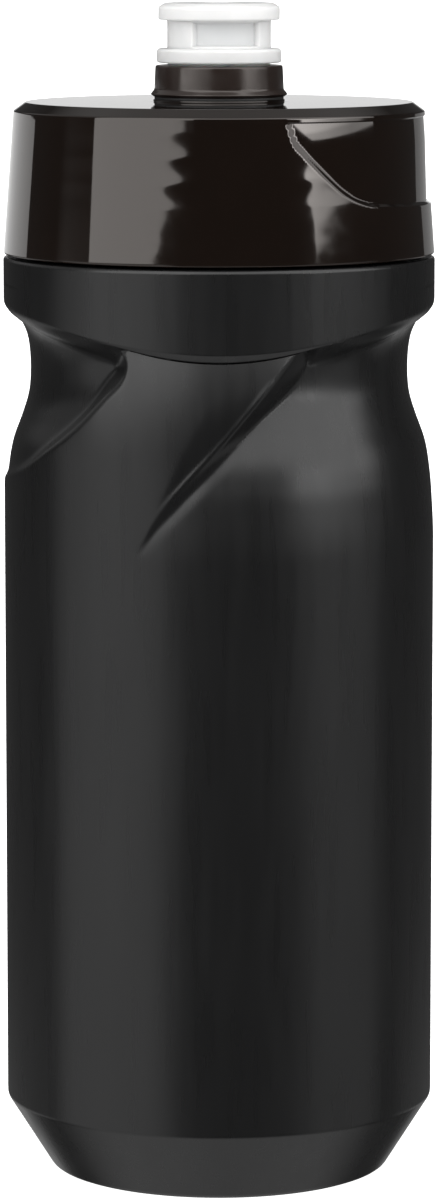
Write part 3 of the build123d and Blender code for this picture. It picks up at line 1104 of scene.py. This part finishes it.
def floor():
    """A pale matt floor, evenly bright, which glossy rays don't see."""
    mesh = bpy.data.meshes.new("floor")
    half = 12.0             # metres
    mesh.from_pydata([(-half, -half, 0), (half, -half, 0), (half, half, 0), (-half, half, 0)],
                     [], [(0, 1, 2, 3)])
    obj = bpy.data.objects.new("floor", mesh)
    bpy.context.scene.collection.objects.link(obj)
    material, nodes, links, shader = new_material("floor_pale")
    shader.inputs["Base Color"].default_value = (0.9, 0.9, 0.9, 1)
    shader.inputs["Roughness"].default_value = 1.0
    shader.inputs["Specular IOR Level"].default_value = 0.0
    shader.inputs["Emission Color"].default_value = (1, 1, 1, 1)
    shader.inputs["Emission Strength"].default_value = 1.0
    mesh.materials.append(material)
    obj.visible_glossy = False


def calculated(nodes, links, operation, *values):
    """The result of a Math node. Each value is a number or another node's output."""
    node = nodes.new("ShaderNodeMath")
    node.operation = operation
    for socket, value in zip(node.inputs, values):
        if isinstance(value, (int, float)):
            socket.default_value = value
        else:
            links.new(value, socket)
    return node.outputs["Value"]


def above(nodes, links, value, edge, softness):
    """0 below an edge and 1 above it, blurred over a width of softness."""
    step = nodes.new("ShaderNodeMapRange")
    step.interpolation_type = "SMOOTHSTEP"
    links.new(value, step.inputs["Value"])
    for name, side in (("From Min", -0.5), ("From Max", 0.5)):
        if isinstance(edge, (int, float)):
            step.inputs[name].default_value = edge + side * softness
        else:
            shifted = calculated(nodes, links, "ADD", edge, side * softness)
            links.new(shifted, step.inputs[name])
    return step.outputs["Result"]


CARD_DISTANCE = 0.121       # metres, as all of the cards' lengths
CARD_HEIGHT = 0.1655
CARD_TALL = 0.036


def card(name, azimuth, distance, height, width, tall, radiance):
    """A small light behind the lid that faces it, and lights only the lid and the spout tube.

    Lengths here are metres. The azimuth is counted in degrees from the front towards +X.
    """
    light = bpy.data.lights.new(name, "AREA")
    light.shape = "RECTANGLE"
    light.size = width
    light.size_y = tall
    light.energy = radiance * math.pi * width * tall
    obj = bpy.data.objects.new(name, light)
    turn = math.radians(azimuth)
    obj.location = (distance * math.sin(turn), -distance * math.cos(turn), height)
    obj.rotation_euler = (math.pi / 2, 0, turn)
    obj.visible_camera = False
    bpy.context.scene.collection.objects.link(obj)
    lit = bpy.data.collections.new(name + "_lights")
    for piece in ("lid_shell_skin", "spout_tube_skin"):
        lit.objects.link(bpy.data.objects[piece])
    obj.light_linking.receiver_collection = lit


def studio():
    """Light by direction: two tall softboxes, a dome above them, a backdrop and pale walls behind.

    Angles are degrees. Azimuth 0 is the front, where the camera is, and 90 is +X. The inner edges
    of the two softboxes lean towards each other, so the dark gap between them narrows upwards.
    """
    world = bpy.data.worlds.new("studio")
    bpy.context.scene.world = world
    world.use_nodes = True
    nodes = world.node_tree.nodes
    links = world.node_tree.links

    direction = nodes.new("ShaderNodeTexCoord")
    split = nodes.new("ShaderNodeSeparateXYZ")
    links.new(direction.outputs["Generated"], split.inputs["Vector"])
    to_front = calculated(nodes, links, "MULTIPLY", split.outputs["Y"], -1.0)
    turn = calculated(nodes, links, "ARCTAN2", split.outputs["X"], to_front)
    azimuth = calculated(nodes, links, "DEGREES", turn)
    lift = calculated(nodes, links, "ARCSINE", split.outputs["Z"])
    elevation = calculated(nodes, links, "DEGREES", lift)

    def leaning(at_zero, per_degree):
        slope = calculated(nodes, links, "MULTIPLY", elevation, per_degree)
        return calculated(nodes, links, "ADD", slope, at_zero)

    def patch(brightness, softness, left=None, right=None, low=None, high=None):
        lit = brightness
        for value, edge, sign in (
            (azimuth, left, 1),
            (azimuth, right, -1),
            (elevation, low, 1),
            (elevation, high, -1),
        ):
            if edge is None:
                continue
            step = above(nodes, links, value, edge, softness)
            if sign < 0:
                step = calculated(nodes, links, "SUBTRACT", 1.0, step)
            lit = calculated(nodes, links, "MULTIPLY", lit, step)
        return lit

    left_inner = calculated(nodes, links, "MINIMUM", leaning(-64.8, 8.1), -14.0)
    right_inner = calculated(nodes, links, "MAXIMUM", leaning(67.0, -4.0), 38.0)
    hot_foot = calculated(nodes, links, "MULTIPLY_ADD", azimuth, -0.1, 10.2)
    hot_middle = calculated(nodes, links, "MULTIPLY_ADD", azimuth, -0.15, 15.5)
    patches = [
        # the two softboxes, and two hot strips at the foot of the right one, fading outwards
        patch(2.6, 0.5, left=-73.0, right=left_inner, low=-3.0, high=70.0),
        patch(2.3, 0.3, left=right_inner, right=96.0, low=3.5, high=70.0),
        patch(hot_foot, 0.3, left=right_inner, right=96.0, low=3.5, high=7.0),
        patch(hot_middle, 1.6, left=right_inner, right=96.0, low=4.4, high=8.0),
        # the dome, a dimmer part to its left, and what the softboxes spill below themselves
        patch(2.1, 8.0, left=-70.0, right=96.0, low=14.0, high=70.0),
        patch(0.35, 10.0, left=-150.0, right=-66.0, low=10.0, high=50.0),
        patch(0.74, 14.0, left=-95.0, right=-27.0, high=0.0),
        patch(0.38, 8.0, left=48.0, right=94.0, high=-3.0),
        # the backdrop behind, and pale walls low down to both sides of it
        patch(0.85, 2.0, right=-171.0, low=-2.2, high=6.0),
        patch(0.85, 2.0, left=171.0, low=-2.2, high=6.0),
        patch(0.5, 8.0, right=-104.0, low=-30.0, high=-15.0),
        patch(0.5, 8.0, left=112.0, low=-24.0, high=-15.0),
        # the floor, the ceiling and the dark rest
        patch(0.67, 24.0, high=-50.0),
        patch(0.5, 30.0, low=40.0),
        0.06,
    ]
    total = patches[0]
    for other in patches[1:]:
        total = calculated(nodes, links, "MAXIMUM", total, other)

    background = nodes["Background"]
    background.inputs["Color"].default_value = (1, 1, 1, 1)
    links.new(total, background.inputs["Strength"])
    seen = nodes.new("ShaderNodeBackground")
    seen.inputs["Color"].default_value = (1, 1, 1, 1)
    path = nodes.new("ShaderNodeLightPath")
    choose = nodes.new("ShaderNodeMixShader")
    links.new(path.outputs["Is Camera Ray"], choose.inputs["Fac"])
    links.new(background.outputs["Background"], choose.inputs[1])
    links.new(seen.outputs["Background"], choose.inputs[2])
    links.new(choose.outputs["Shader"], nodes["World Output"].inputs["Surface"])


def camera():
    """The photograph's view: from the front, a little above the nozzle, looking slightly down."""
    tilt = 0.13625          # radians below level
    data = bpy.data.cameras.new("camera")
    data.sensor_width = 36.0
    data.lens = 154.0
    data.clip_end = 100.0
    obj = bpy.data.objects.new("camera", data)
    obj.location = (0.0005, -0.8738, 0.2179)
    obj.rotation_euler = (math.pi / 2 - tilt, 0, 0)
    bpy.context.scene.collection.objects.link(obj)
    bpy.context.scene.camera = obj


floor()
studio()
card("left_card", -136, CARD_DISTANCE, CARD_HEIGHT, 0.115, CARD_TALL, 1.1)
card("right_card", 146, CARD_DISTANCE, CARD_HEIGHT, 0.085, CARD_TALL, 0.35)
camera()
bpy.context.scene.view_settings.view_transform = "Standard"
